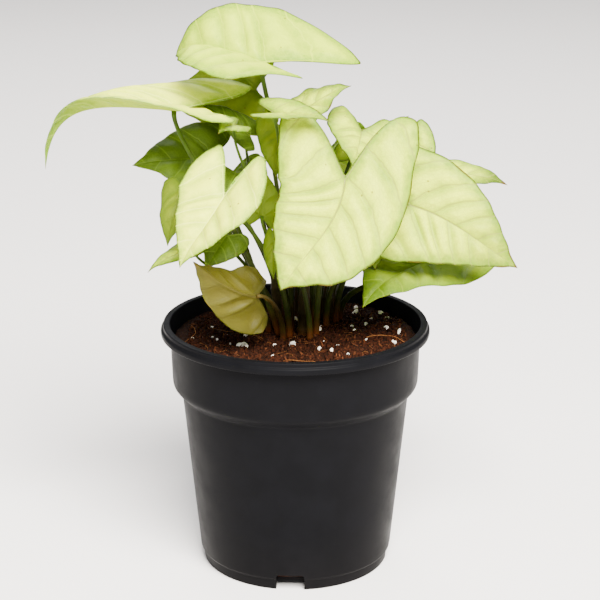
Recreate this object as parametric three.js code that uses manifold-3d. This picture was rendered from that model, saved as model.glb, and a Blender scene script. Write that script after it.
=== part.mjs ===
// Arrowhead plant (Syngonium podophyllum, pale cultivar) in a black 13 cm nursery pot.
// Millimetres, +Z up. The origin is the centre of the pot's underside, where it stands on a table.
import * as THREE from 'three';
import { mergeGeometries, mergeVertices } from 'three/addons/utils/BufferGeometryUtils.js';
import Module from 'manifold-3d';

// ---------------------------------------------------------------- driving dimensions
const POT_HEIGHT = 123.2;
const FOOT_RADIUS = 46.2; // where the foot ring meets the table
const BODY_RADIUS = 47.2; // the body's cone, carried down to the table
const BODY_TAPER = 0.1; // mm of radius gained for each mm of height
const BODY_TOP = 88;
const COLLAR_FOOT = 94;
const COLLAR_RADIUS = 61.0;
const LIP_RADIUS = 66.0;
const LIP_FOOT = 117.7;
const WALL = 1.4;
const FLOOR = 1.8;
const PAD_RADIUS = 30.0; // flat middle of the floor, which stands on the table
const GUTTER_RISE = 3.0; // the ring of floor around the pad is raised for drainage
const POT_SIDES = 48;
const DRAIN_SLOTS = 4;
const DRAIN_WIDTH = 13.7;
const DRAIN_HEIGHT = 8.5;
const DRAIN_DEPTH = 12; // from inside the foot to outside it
const DRAIN_TURN = -93; // degrees: the first slot is a little left of the front
const SOIL_TOP = 117.0;
const SEAT_GAP = 0.3; // air between pieces that touch

const PETIOLE_FOOT_RADIUS = 1.9; // the stalk's sheath, at the soil
const PETIOLE_TOP_RADIUS = 0.45; // where it meets a blade, for a blade of no width
const PETIOLE_TOP_GROWTH = 0.011; // what each mm of its blade's width adds to that
const PETIOLE_TAPER = 0.6; // power of its length by which the stalk thins: below 1, most of it near the foot
const PETIOLE_REACH = 14; // how far the stalk runs straight into its blade
const PETIOLE_RISE = 0.45; // how far it rises first, as a share of the way to its blade

const BLADE_THICKNESS = 0.6;
const BLADE_GAP = 0.4; // air between a stalk's end and its blade
const BLADE_ARCH = 2; // mm, for a blade that names no arch of its own
const BLADE_FOLD = 8; // degrees that each half rises from the midrib
const BLADE_CURL = 16; // degrees that each half bends back down by its margin
// Shares of the way from the junction to the margin, each with the share of its thickness a blade has there.
const BLADE_SECTION = [[0, 1], [0.35, 1], [0.65, 1], [0.88, 0.8], [1, 0]];

// ---------------------------------------------------------------- finishes
const finish = (color, roughness) => new THREE.MeshStandardMaterial({ color, roughness, metalness: 0 });
const BLACK_PLASTIC = finish(0x26272a, 0.45);
const COCOPEAT = finish(0x4a2216, 0.95);
const CANE = finish(0x4b3f1e, 0.7);
const STALK = finish(0x5d7a2c, 0.55);
const PALE_BLADE = finish(0xdde8a4, 0.5);
const GREEN_BLADE = finish(0x4f7d1c, 0.45);
const OLIVE_BLADE = finish(0xa9ba5c, 0.5);

// ---------------------------------------------------------------- small helpers
const wasm = await Module();
wasm.setup();

const { degToRad, lerp } = THREE.MathUtils;
const vector = (values) => new THREE.Vector3(...values);

function toSolid(geometry) {
  for (const name of ['normal', 'uv']) geometry.deleteAttribute(name);
  const { index, attributes } = mergeVertices(geometry, 1e-3);
  return new wasm.Manifold(new wasm.Mesh({
    numProp: 3,
    vertProperties: new Float32Array(attributes.position.array),
    triVerts: new Uint32Array(index.array),
  }));
}

function fromSolid(solid) {
  const { vertProperties, triVerts } = solid.getMesh();
  const geometry = new THREE.BufferGeometry();
  geometry.setAttribute('position', new THREE.BufferAttribute(vertProperties, 3));
  geometry.setIndex(new THREE.BufferAttribute(triVerts, 1));
  return geometry;
}

// A body of revolution about +Z from [radius, height] pairs.
function turned(profile) {
  const points = profile.map(([radius, height]) => new THREE.Vector2(radius, height));
  return new THREE.LatheGeometry(points, POT_SIDES).rotateX(Math.PI / 2);
}

function moveVertices(geometry, place) {
  const position = geometry.attributes.position;
  for (let i = 0; i < position.count; i += 1) {
    const point = place(new THREE.Vector3().fromBufferAttribute(position, i));
    position.setXYZ(i, point.x, point.y, point.z);
  }
  return geometry;
}

const plant = new THREE.Group();
function add(name, geometry, material) {
  const mesh = new THREE.Mesh(geometry, material);
  mesh.name = name;
  plant.add(mesh);
}

// ---------------------------------------------------------------- pot and soil
const bodyRadius = (height) => BODY_RADIUS + BODY_TAPER * height;

// The outside of the pot, from the middle of its floor up to the top of its two-step lip.
function outsideWall() {
  const rim = LIP_RADIUS - 1.2;
  return [
    [0, 0], [PAD_RADIUS, 0], [PAD_RADIUS + 3, GUTTER_RISE], [FOOT_RADIUS - 4, GUTTER_RISE],
    [FOOT_RADIUS - 3, 0], [FOOT_RADIUS - 0.8, 0], [FOOT_RADIUS, 0.8], [FOOT_RADIUS + 0.5, 5.2],
    [bodyRadius(6.4), 6.4], [bodyRadius(BODY_TOP), BODY_TOP], [COLLAR_RADIUS - 3.4, BODY_TOP + 2],
    [COLLAR_RADIUS - 1.1, BODY_TOP + 3.8], [COLLAR_RADIUS - 0.4, COLLAR_FOOT],
    [COLLAR_RADIUS + 0.4, LIP_FOOT - 0.6], [LIP_RADIUS - 0.6, LIP_FOOT], [LIP_RADIUS, LIP_FOOT + 0.9],
    [LIP_RADIUS, POT_HEIGHT - 2.8], [rim, POT_HEIGHT - 1.8], [rim - 0.2, POT_HEIGHT - 0.5],
    [rim - 0.7, POT_HEIGHT], [rim - 2.8, POT_HEIGHT], [rim - 3.3, POT_HEIGHT - 0.6],
  ];
}

// The inside of the pot from the floor up to the collar, drawn in by `gap`.
function insideWall(gap) {
  const floor = FLOOR + gap;
  const inset = WALL + gap;
  return [
    [0, floor], [PAD_RADIUS - 0.8 - gap, floor], [PAD_RADIUS + 2.2 - gap, GUTTER_RISE + floor],
    [FOOT_RADIUS - 1.6 - gap, GUTTER_RISE + floor], [bodyRadius(8) - inset, 8 + gap],
    [bodyRadius(BODY_TOP) - inset, BODY_TOP - 0.6], [COLLAR_RADIUS - 2.6 - inset, BODY_TOP + 3.4],
    [COLLAR_RADIUS - 0.4 - inset, COLLAR_FOOT],
  ];
}

function makePot() {
  const collarTop = [COLLAR_RADIUS + 0.4 - WALL, LIP_FOOT - 3];
  let solid = toSolid(turned([...outsideWall(), collarTop, ...insideWall(0).reverse()]));
  for (let i = 0; i < DRAIN_SLOTS; i += 1) {
    const turn = degToRad(DRAIN_TURN + (360 / DRAIN_SLOTS) * i);
    const slot = new THREE.BoxGeometry(DRAIN_DEPTH, DRAIN_WIDTH, 2 * DRAIN_HEIGHT);
    solid = solid.subtract(toSolid(slot.translate(FOOT_RADIUS + 1.5, 0, 0).rotateZ(turn)));
  }
  add('pot', fromSolid(solid), BLACK_PLASTIC);
}

// The soil fills the pot up to below the lip. Its top is flat and falls a little towards the wall.
function makeSoil() {
  const edge = COLLAR_RADIUS - WALL - SEAT_GAP;
  const top = [[edge, SOIL_TOP - 1.2], [edge - 7, SOIL_TOP - 0.4], [edge - 15, SOIL_TOP], [0, SOIL_TOP]];
  add('soil', turned([...insideWall(SEAT_GAP), ...top]), COCOPEAT);
}

// ---------------------------------------------------------------- canes and leaf stalks
// A round stem along a curve. radiusAt gives its radius for 0 at the foot to 1 at the top.
function stem(curve, radiusAt, sides, steps) {
  const frames = curve.computeFrenetFrames(steps);
  return moveVertices(new THREE.CylinderGeometry(1, 1, 1, sides, steps), ({ x, y, z }) => {
    const along = y + 0.5;
    const step = Math.round(along * steps);
    const radius = radiusAt(along);
    return curve.getPointAt(along)
      .addScaledVector(frames.normals[step], z * radius)
      .addScaledVector(frames.binormals[step], x * radius);
  });
}

// Short sheathed canes in the soil, and how much of its thickness a cane loses by its top.
const CANES = {
  middle: { foot: [4, -3], top: [6, -4, 160], radius: 3.0 },
  left: { foot: [-9, 9], top: [-12, 8, 156], radius: 2.6 },
  right: { foot: [16, 22], top: [20, 22, 158], radius: 2.8 },
  rear: { foot: [2, 26], top: [0, 30, 152], radius: 2.4 },
};
const CANE_TAPER = 0.65;

function makeCane(name, { foot, top, radius }) {
  const start = vector([...foot, SOIL_TOP + SEAT_GAP]);
  const end = vector(top);
  const curve = new THREE.QuadraticBezierCurve3(start, start.clone().setZ((start.z + end.z) / 2), end);
  add(`cane_${name}`, stem(curve, (along) => radius * (1 - CANE_TAPER * along ** 2), 8, 5), CANE);
}

// A stalk leaves the soil almost upright, leaning by `lean` on its way, and meets the underside of its blade
// square on.
function makeStalk(name, { foot, lean = [0, 0], reach = PETIOLE_REACH, width }, junction, facing) {
  const start = vector([...foot, SOIL_TOP + SEAT_GAP]);
  const end = junction.clone().addScaledVector(facing, -(BLADE_THICKNESS / 2 + BLADE_GAP));
  const rise = start.distanceTo(end) * PETIOLE_RISE;
  start.z += PETIOLE_FOOT_RADIUS * Math.sin(Math.atan2(Math.hypot(...lean), rise));
  const curve = new THREE.CubicBezierCurve3(
    start, start.clone().add(vector([...lean, rise])), end.clone().addScaledVector(facing, -reach), end,
  );
  const topRadius = PETIOLE_TOP_RADIUS + PETIOLE_TOP_GROWTH * width;
  const radiusAt = (along) => lerp(PETIOLE_FOOT_RADIUS, topRadius, along ** PETIOLE_TAPER);
  add(`petiole_${name}`, stem(curve, radiusAt, 6, 9), STALK);
}

// ---------------------------------------------------------------- leaf blades
// Half of the flat arrowhead, from the tip round a lobe to the notch. u counts half-widths out from the
// midrib; v counts lengths along it, from 0 at the stalk's junction to 1 at the tip, and below 0 in the
// lobes.
const HALF_OUTLINE = [
  [0, 1], [0.07, 0.93], [0.24, 0.8], [0.5, 0.62], [0.76, 0.38], [0.96, 0.12], [1, -0.06],
  [0.96, -0.24], [0.84, -0.38], [0.7, -0.455], [0.53, -0.44], [0.35, -0.33], [0.19, -0.19],
  [0.06, -0.08], [0, -0.035],
];
const OUTLINE = [
  ...HALF_OUTLINE,
  ...HALF_OUTLINE.slice(1, -1).reverse().map(([u, v]) => [-u, v]),
];

// The outline of one leaf, whose left and right lobes lean in over the notch.
function leafOutline([left, right]) {
  return OUTLINE.map(([u, v]) => [u + Math.sign(u) * (u < 0 ? left : right) * Math.min(v, 0), v]);
}

// The midrib bows off its straight line, scaled to peak at 1, and goes straight on in the lobes. An arch
// bends most near the tip: v * (1 - v ** 3). A sway bends most by the junction: v * (1 - v) ** 2.
const ARCH_SCALE = 4 ** (4 / 3) / 3;
const ARCH_BOW = {
  height: (v) => ARCH_SCALE * (v < 0 ? v : v * (1 - v ** 3)),
  slope: (v) => ARCH_SCALE * (v < 0 ? 1 : 1 - 4 * v ** 3),
};
const SWAY_SCALE = 3 ** 3 / 2 ** 2;
const SWAY_BOW = {
  height: (v) => SWAY_SCALE * (v < 0 ? v : v * (1 - v) ** 2),
  slope: (v) => SWAY_SCALE * (v < 0 ? 1 : (1 - v) * (1 - 3 * v)),
};

// The middle surface of a blade, as a function from u, v to a point in space.
function bladeSheet(leaf) {
  const {
    junction, tip, faces, width, lobes = 1, uneven = 0, flare = 0, full = 0, arch = BLADE_ARCH, sway = 0,
    twist = 0, fold = BLADE_FOLD, curl = BLADE_CURL,
  } = leaf;
  const start = vector(junction);
  const chord = vector(tip).sub(start);
  const ahead = chord.clone().normalize();
  const above = vector(faces).projectOnPlane(ahead).normalize();
  const right = above.clone().cross(ahead);
  return (u, v) => {
    const along = v < 0 ? v * lobes * (1 + uneven * u) : v;
    const slope = chord.clone()
      .addScaledVector(above, arch * ARCH_BOW.slope(along))
      .addScaledVector(right, sway * SWAY_BOW.slope(along))
      .normalize();
    const turn = degToRad(twist) * along;
    const side = above.clone().cross(slope).normalize().applyAxisAngle(slope, turn);
    const lift = slope.clone().cross(side);
    const rise = degToRad(fold - (curl * Math.abs(u)) / 2);
    const reach = (width / 2) * (1 + (v < 0 ? flare : full) * v * v);
    return start.clone()
      .addScaledVector(chord, along)
      .addScaledVector(above, arch * ARCH_BOW.height(along))
      .addScaledVector(right, sway * SWAY_BOW.height(along))
      .addScaledVector(side, u * reach * Math.cos(rise))
      .addScaledVector(lift, Math.abs(u) * reach * Math.sin(rise));
  };
}

// The direction that the upper side of the sheet faces.
function upperSide(sheet, u, v) {
  const h = 0.01;
  const across = sheet(u + h, v).sub(sheet(u - h, v));
  const along = sheet(u, v + h).sub(sheet(u, v - h));
  return along.cross(across).normalize();
}

// One side of a blade is a disc, each of whose spokes is stretched to one point of the outline. The two sides
// have their triangles in the same places, so that they never cross, and meet at the margin.
function bladeGeometry(sheet, outline) {
  const sides = [1, -1].map((side) => {
    const profile = BLADE_SECTION.map(([reach, thickness]) => new THREE.Vector2(reach, side * thickness));
    const disc = new THREE.LatheGeometry(profile, outline.length);
    if (side > 0) disc.setIndex([...disc.index.array].reverse());
    return moveVertices(disc, ({ x, y, z }) => {
      const turn = Math.atan2(x, z) / (2 * Math.PI);
      const spoke = Math.round(turn * outline.length + outline.length) % outline.length;
      const stretch = Math.hypot(x, z);
      const [u, v] = outline[spoke].map((reach) => reach * stretch);
      return sheet(u, v).addScaledVector(upperSide(sheet, u, v), (y * BLADE_THICKNESS) / 2);
    });
  });
  return mergeGeometries(sides);
}

// Each leaf: `foot` is where its stalk stands in the soil; `junction` and `tip` are the ends of its midrib;
// `faces` is the direction of its upper side and `width` its greatest width. `lobes` lengthens the back
// lobes, `uneven` makes the right one longer than the left one, `flare` spreads them, and `closed` leans the
// left and the right one in over the notch; `full` widens the blade towards its tip. `arch` and `sway` are
// how far the midrib bows to the upper side and to the right, seen with the tip down, and `twist` is how many
// degrees the blade turns about its midrib by the tip.
const LEAVES = {
  crown: {
    foot: [3, 9], junction: [-16, -4, 252], tip: [-58, 20, 249], faces: [0, -0.4, 0.92], width: 65,
    lobes: 1.25, uneven: -0.6, closed: [0, 0.74], full: 0.7, arch: 8, fold: 24, twist: -22,
  },
  arching: {
    foot: [-8, -4], lean: [-14, -10], junction: [-57, -8, 230], tip: [-117, -20, 202],
    faces: [-0.3, -0.15, 0.95], width: 58, lobes: 0.9, uneven: -0.35, arch: 20, fold: 20, twist: 30,
  },
  dark_left: {
    foot: [-17, 14], junction: [-41, 12, 202], tip: [-79, 4, 200], faces: [0, -0.65, 0.75], width: 45,
    lobes: 0.7, material: GREEN_BLADE,
  },
  front_left: {
    foot: [-3, -8], junction: [-33, -36, 195], tip: [-53, -54, 165], faces: [-0.55, -0.85, 0.45], width: 46,
    lobes: 1.3, closed: [0.05, 0.45], sway: 0.8, fold: 18,
  },
  front: {
    foot: [10, -5], junction: [23, -34, 202], tip: [-7, -56, 155], faces: [0, -0.9, 0.35], width: 63,
    lobes: 1.1, flare: 1.6, full: 1.1, sway: 4.2,
  },
  right: {
    foot: [20, 16], lean: [0, 8], junction: [55, -18, 186], tip: [106, -26, 157], faces: [0, -0.95, 0.3],
    width: 56, arch: 4, sway: 2.3,
  },
  low_right: {
    foot: [22, 21], junction: [62, 0, 153], tip: [31, -34, 139], faces: [-0.1, -0.4, 0.87], width: 56,
    lobes: 1.8, arch: 6, material: OLIVE_BLADE,
  },
  low_left: {
    foot: [-6, -11], reach: 6, junction: [-18, -34, 146], tip: [-47, -50, 168], faces: [-0.3, 0.75, -0.6],
    width: 38, lobes: 0.5, sway: -2.2, fold: 35, material: OLIVE_BLADE,
  },
  folded: {
    foot: [-2, 2], junction: [-10, -24, 232], tip: [17, -33, 229], faces: [0.1, -0.45, 0.8], width: 18,
    lobes: 0.7, fold: 25,
  },
  upper_right: {
    foot: [9, 7], junction: [3, 2, 227], tip: [27, 4, 239], faces: [-0.35, -0.45, 0.8], width: 27, lobes: 0.5,
  },
  behind_front: {
    foot: [11, 19], junction: [32, 8, 216], tip: [27, -13, 202], faces: [0.25, -0.5, 0.8], width: 36,
    lobes: 1.2,
  },
  right_young: {
    foot: [15, 15], junction: [55, -1, 212], tip: [63, -9, 187], faces: [0.05, -0.95, 0.3], width: 24,
    lobes: 0.8,
  },
  right_thin: {
    foot: [20, 27], junction: [75, 8, 196], tip: [103, 4, 190], faces: [0.1, -0.4, 0.9], width: 22,
    lobes: 0.7,
  },
  outer_left: {
    foot: [-15, 7], lean: [-2, 8], junction: [-53, -14, 193], tip: [-60, -24, 167], faces: [-0.55, -0.7, 0.4],
    width: 26, lobes: 0.4, material: OLIVE_BLADE,
  },
  spear_left: {
    foot: [-13, 2], lean: [-2, -12], junction: [-49, -20, 166], tip: [-70, -26, 155],
    faces: [-0.35, -0.4, 0.85], width: 16, lobes: 0.5,
  },
  inner_left: {
    foot: [-9, 2], junction: [-33, -14, 170], tip: [-43, -24, 156], faces: [0.2, -0.8, 0.5], width: 24,
    lobes: 0.65, material: GREEN_BLADE,
  },
  upper_back: {
    foot: [-4, 27], junction: [-20, 34, 231], tip: [-67, 46, 222], faces: [-0.3, -0.9, 0.35], width: 46,
    lobes: 0.5, material: OLIVE_BLADE,
  },
  tucked_right: {
    foot: [20, 36], junction: [30, 22, 199], tip: [56, 23, 221], faces: [0.1, -0.85, 0.5], width: 24,
    lobes: 0.6,
  },
  inner_top: {
    foot: [5, 14], junction: [-7, -6, 221], tip: [-9, -8, 197], faces: [-0.3, -0.95, 0.1], width: 25,
    lobes: 0.6, material: OLIVE_BLADE,
  },
  inner_bud: {
    foot: [-3, 7], junction: [-16, -8, 178], tip: [-13, -17, 201], faces: [0.1, 0.9, 0.45], width: 22,
    lobes: 0.55, material: OLIVE_BLADE,
  },
  inner_right: {
    foot: [15, 10], junction: [36, -10, 173], tip: [38, -18, 154], faces: [0.3, -0.85, 0.4], width: 25,
    lobes: 0.6, material: OLIVE_BLADE,
  },
  under_arching: {
    foot: [-9, 16], junction: [-22, 2, 216], tip: [-46, 6, 230], faces: [0.35, -0.55, 0.75], width: 20,
    lobes: 0.5, material: GREEN_BLADE,
  },
  inner_pale: {
    foot: [-4, 18], lean: [0, -10], junction: [-28, -14, 224], tip: [-36, -22, 221],
    faces: [0.1, -0.45, 0.85], width: 14, lobes: 1.2,
  },
  inner_curled: {
    foot: [7, -10], junction: [-9, -22, 170], tip: [-10, -27, 152], faces: [-0.5, -0.85, 0.2], width: 14,
    lobes: 0.7, material: OLIVE_BLADE,
  },
  back: {
    foot: [8, 28], junction: [17, 36, 200], tip: [26, 76, 150], faces: [0, 0.8, 0.6], width: 46, lobes: 0.7,
  },
  back_left: {
    foot: [-8, 22], junction: [-35, 42, 184], tip: [-40, 74, 134], faces: [-0.1, 0.8, 0.5], width: 42,
    lobes: 0.7, material: GREEN_BLADE,
  },
  back_right: {
    foot: [12, 31], junction: [60, 36, 180], tip: [86, 70, 148], faces: [0.3, 0.6, 0.7], width: 40,
    lobes: 0.7,
  },
};

function makeLeaf(name, leaf) {
  const { closed = [0, 0], material = PALE_BLADE } = leaf;
  const sheet = bladeSheet(leaf);
  add(`leaf_${name}`, bladeGeometry(sheet, leafOutline(closed)), material);
  makeStalk(name, leaf, sheet(0, 0), upperSide(sheet, 0, 0));
}

makePot();
makeSoil();
for (const [name, cane] of Object.entries(CANES)) makeCane(name, cane);
for (const [name, leaf] of Object.entries(LEAVES)) makeLeaf(name, leaf);

export default plant;
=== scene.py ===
"""Arrowhead plant (Syngonium podophyllum, pale cultivar) in a black nursery pot, as a visual model.

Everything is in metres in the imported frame: +Z up, origin at the centre of the pot's underside. Sizes that
a grower would quote are written in millimetres and multiplied by MM.
"""

import logging
import math
from collections.abc import Callable
from dataclasses import dataclass
from enum import Enum
from functools import partial

import bmesh
import bpy
import numpy as np
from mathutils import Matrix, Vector, noise

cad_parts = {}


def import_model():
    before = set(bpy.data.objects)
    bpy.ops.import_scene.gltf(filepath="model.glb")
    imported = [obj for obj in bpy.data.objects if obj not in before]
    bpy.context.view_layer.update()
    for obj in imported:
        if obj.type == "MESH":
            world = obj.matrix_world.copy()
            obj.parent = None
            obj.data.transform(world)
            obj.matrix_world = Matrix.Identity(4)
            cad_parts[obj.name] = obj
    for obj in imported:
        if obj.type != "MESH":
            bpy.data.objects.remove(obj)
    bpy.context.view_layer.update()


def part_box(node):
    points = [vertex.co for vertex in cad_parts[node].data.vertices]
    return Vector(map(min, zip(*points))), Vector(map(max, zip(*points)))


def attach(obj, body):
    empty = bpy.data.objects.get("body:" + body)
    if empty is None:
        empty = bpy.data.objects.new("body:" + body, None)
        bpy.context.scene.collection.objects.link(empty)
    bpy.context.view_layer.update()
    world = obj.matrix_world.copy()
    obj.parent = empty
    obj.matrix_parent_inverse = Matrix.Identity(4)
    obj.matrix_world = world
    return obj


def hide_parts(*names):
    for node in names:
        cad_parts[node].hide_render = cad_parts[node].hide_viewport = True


MM = 0.001
BODY = "root"
Array = np.ndarray
Colour = tuple[float, float, float, float]
Material = bpy.types.Material
Pair = tuple[float, float]
Piece = bpy.types.Object
Point = tuple[float, float, float]
Socket = bpy.types.NodeSocket
AddNode = Callable[..., Socket]

log = logging.getLogger("arrowhead_plant")


# ---------------------------------------------------------------------------------------- helpers
def linear(hex_colour: str) -> Colour:
    """Turn an sRGB hex colour into linear light.

    Args:
        hex_colour: Six hex digits after a hash.

    Returns:
        Linear red, green and blue, and an alpha of 1.
    """
    channels = [int(hex_colour[i:i + 2], 16) / 255 for i in (1, 3, 5)]
    bright = [c / 12.92 if c <= 0.04045 else ((c + 0.055) / 1.055) ** 2.4 for c in channels]
    return (*bright, 1.0)


def add_node(
    tree: bpy.types.NodeTree, kind: str, inputs: dict | tuple = (), out: int | str = 0, **settings: object
) -> Socket | None:
    """Add one node with its settings, values and links.

    Args:
        tree: The node tree that gets the node.
        kind: The node's type name.
        inputs: A value, or the socket that feeds it, for each input by name or number, or for the first ones.
        out: Name or number of the output that is wanted.
        **settings: Properties of the node itself.

    Returns:
        The wanted output, or None where the node has none.
    """
    node = tree.nodes.new(kind)
    for name, value in settings.items():
        setattr(node, name, value)
    for key, value in inputs.items() if isinstance(inputs, dict) else enumerate(inputs):
        if isinstance(value, Socket):
            tree.links.new(value, node.inputs[key])
        else:
            node.inputs[key].default_value = value
    return node.outputs[out] if node.outputs else None


def placed(name: str, data: bpy.types.ID) -> Piece:
    """Make an object at the origin of the scene.

    Args:
        name: The object's name.
        data: Its mesh, light or camera.

    Returns:
        The linked object.
    """
    thing = bpy.data.objects.new(name, data)
    bpy.context.scene.collection.objects.link(thing)
    return thing


def plain_mesh(name: str, points: list, faces: list) -> bpy.types.Mesh:
    """Make a mesh.

    Args:
        name: The mesh's name.
        points: Vertex places.
        faces: Vertex numbers of each face.

    Returns:
        The mesh.
    """
    mesh = bpy.data.meshes.new(name)
    mesh.from_pydata(points, [], faces)
    return mesh


def new_piece(
    name: str, points: Array | list, faces: list, material: Material | None = None,
    attributes: dict[str, Array] | None = None,
) -> Piece:
    """Make a closed mesh object whose faces point outwards.

    Args:
        name: The object's name.
        points: Vertex places.
        faces: Vertex numbers of each face.
        material: Its material. With one the piece is shaded smooth, without one it stays flat and bare.
        attributes: One number for each vertex, by the name that materials read it by.

    Returns:
        The linked object, at the origin.
    """
    mesh = plain_mesh(name, np.asarray(points).tolist(), faces)
    shell = bmesh.new()
    shell.from_mesh(mesh)
    bmesh.ops.recalc_face_normals(shell, faces=shell.faces)
    shell.to_mesh(mesh)
    shell.free()
    if material is not None:
        mesh.shade_smooth()
        mesh.materials.append(material)
    for key, values in (attributes or {}).items():
        attribute = mesh.attributes.new(key, "FLOAT", "POINT")
        attribute.data.foreach_set("value", np.asarray(values, dtype=np.float32))
    return placed(name, mesh)


def band(low: int, high: int, sides: int) -> list:
    """Join two rings, which start at the points low and high, with four-sided faces."""
    return [(low + k, high + k, high + (k + 1) % sides, low + (k + 1) % sides) for k in range(sides)]


def fan(middle: int, ring: int, sides: int) -> list:
    """Join the point in the middle to a ring round it with three-sided faces."""
    return [(middle, ring + k, ring + (k + 1) % sides) for k in range(sides)]


def capped(rings: int, sides: int) -> list:
    """Join rings to a closed tube, whose two end points are numbered after the rings.

    Args:
        rings: How many rings there are.
        sides: Points on each ring.

    Returns:
        Vertex numbers of each face.
    """
    end = rings * sides
    faces = [face for low in range(0, end - sides, sides) for face in band(low, low + sides, sides)]
    return faces + fan(end, 0, sides) + fan(end + 1, end - sides, sides)


def evenly(curve: Array, count: int) -> Array:
    """Walk a curve at even lengths.

    Args:
        curve: Places along it, one row each.
        count: How many places are wanted.

    Returns:
        The even places, one row each.
    """
    lengths = np.append(0, np.cumsum(np.linalg.norm(np.diff(curve, axis=0), axis=1)))
    even = np.linspace(0, lengths[-1], count)
    return np.column_stack([np.interp(even, lengths, axis) for axis in curve.T])


def install(piece: Piece, slot: str, *nodes: str) -> None:
    """Let a finished piece ride on the plant's body and stand for its CAD nodes.

    Args:
        piece: The finished piece.
        slot: The record's material slot that it is finished from; not used.
        *nodes: The CAD nodes that it replaces.
    """
    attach(piece, BODY)
    if nodes:
        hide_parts(*nodes)
    log.info("%s: %d faces", piece.name, len(piece.data.polygons))


def frozen(source: Piece, name: str) -> Piece:
    """Turn an object with modifiers into a plain mesh object, and remove the source.

    Args:
        source: The object whose modifiers are live.
        name: The new object's name.

    Returns:
        The plain object.
    """
    bpy.context.view_layer.update()
    evaluated = source.evaluated_get(bpy.context.evaluated_depsgraph_get())
    mesh = bpy.data.meshes.new_from_object(evaluated)
    bpy.data.objects.remove(source)
    return placed(name, mesh)


# --------------------------------------------------------------------------------------- finishes
@dataclass(frozen=True)
class Finish:
    """What every finish shares: a body colour with others laid over it, and a skin that takes the light."""

    name: str
    body: str

    def shading(self, node: AddNode) -> tuple[tuple, dict]:
        """Work out what lies over the body colour.

        Args:
            node: Adds a node to the material.

        Returns:
            How much of each colour covers the ones under it, with that colour; and the skin's other values.
        """
        raise NotImplementedError

    def material(self) -> Material:
        """Build the node material."""
        material = bpy.data.materials.new(self.name)
        material.use_nodes = True
        material.node_tree.nodes.clear()
        node = partial(add_node, material.node_tree)
        layers, skin = self.shading(node)
        colour = linear(self.body)
        for share, over in layers:
            colour = node("ShaderNodeMix", {0: share, 6: colour, 7: linear(over)}, 2, data_type="RGBA")
        shader = node("ShaderNodeBsdfPrincipled", {"Base Color": colour, **skin})
        node("ShaderNodeOutputMaterial", {"Surface": shader})
        return material


@dataclass(frozen=True)
class MouldedPolypropylene(Finish):
    """Injection-moulded black polypropylene: satin, with a faint mould grain and dust low on the wall."""

    name: str = "moulded_black_polypropylene"
    body: str = "#0a0a0c"
    bloom: str = "#0f0f12"
    dust: str = "#181513"
    grain_mm: float = 0.45
    cloud_mm: float = 14.0
    dust_top_mm: float = 30.0

    def shading(self, node: AddNode) -> tuple[tuple, dict]:
        """Cloud the plastic with bloom and dust its foot."""
        place = node("ShaderNodeTexCoord", out="Object")
        cloud = node("ShaderNodeTexNoise", {
            "Vector": place, "Scale": 1 / (self.cloud_mm * MM), "Detail": 4.0, "Roughness": 0.6})
        grain = node("ShaderNodeTexNoise", {
            "Vector": place, "Scale": 1 / (self.grain_mm * MM), "Detail": 2.0})
        worn = node("ShaderNodeMapRange", (cloud, 0.4, 0.75, 0.0, 0.5))
        height = node("ShaderNodeSeparateXYZ", (place,), "Z")
        low = node("ShaderNodeMapRange", (height, 0.0, self.dust_top_mm * MM, 0.35, 0.0))
        dusty = node("ShaderNodeMath", (low, cloud), operation="MULTIPLY")
        rough = node("ShaderNodeMapRange", (cloud, 0.3, 0.7, 0.36, 0.52))
        bump = node("ShaderNodeBump", {"Height": grain, "Strength": 0.25, "Distance": 0.05 * MM})
        return ((worn, self.bloom), (dusty, self.dust)), {
            "Roughness": rough, "IOR": 1.49, "Specular IOR Level": 0.025, "Normal": bump}


@dataclass(frozen=True)
class DampCoir(Finish):
    """Coir pith and its chips: matt and absorbent, so it is dark where damp and red-brown where it dries."""

    dry: str
    clump_mm: float = 5.0
    grain_mm: float = 0.7
    roughness: float = 0.92

    def shading(self, node: AddNode) -> tuple[tuple, dict]:
        """Lay the dry colour over the damp body in clumps and grains."""
        place = node("ShaderNodeTexCoord", out="Object")
        clump = node("ShaderNodeTexNoise", {
            "Vector": place, "Scale": 1 / (self.clump_mm * MM), "Detail": 5.0, "Roughness": 0.7})
        grain = node("ShaderNodeTexNoise", {
            "Vector": place, "Scale": 1 / (self.grain_mm * MM), "Detail": 3.0})
        both = node("ShaderNodeMath", (clump, grain), operation="MULTIPLY")
        dryness = node("ShaderNodeMapRange", (both, 0.15, 0.38))
        bump = node("ShaderNodeBump", {"Height": grain, "Strength": 0.9, "Distance": 0.5 * MM})
        return ((dryness, self.dry),), {
            "Roughness": self.roughness, "Specular IOR Level": 0.08, "Normal": bump}


@dataclass(frozen=True)
class ExpandedPerlite(Finish):
    """Expanded volcanic glass: chalky white foam that picks up brown dust from the mix."""

    name: str = "expanded_perlite"
    body: str = "#eae4d8"
    soiled: str = "#8d7460"
    pore_mm: float = 0.6
    stain_mm: float = 3.0

    def shading(self, node: AddNode) -> tuple[tuple, dict]:
        """Stain the white foam and open its pores."""
        place = node("ShaderNodeTexCoord", out="Object")
        pores = node("ShaderNodeTexVoronoi", {"Vector": place, "Scale": 1 / (self.pore_mm * MM)})
        stain = node("ShaderNodeTexNoise", {
            "Vector": place, "Scale": 1 / (self.stain_mm * MM), "Detail": 3.0})
        soiled = node("ShaderNodeMapRange", (stain, 0.45, 0.75, 0.0, 0.8))
        bump = node("ShaderNodeBump", {"Height": pores, "Strength": 0.7, "Distance": 0.2 * MM})
        return ((soiled, self.soiled),), {"Roughness": 0.85, "Normal": bump}


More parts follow.
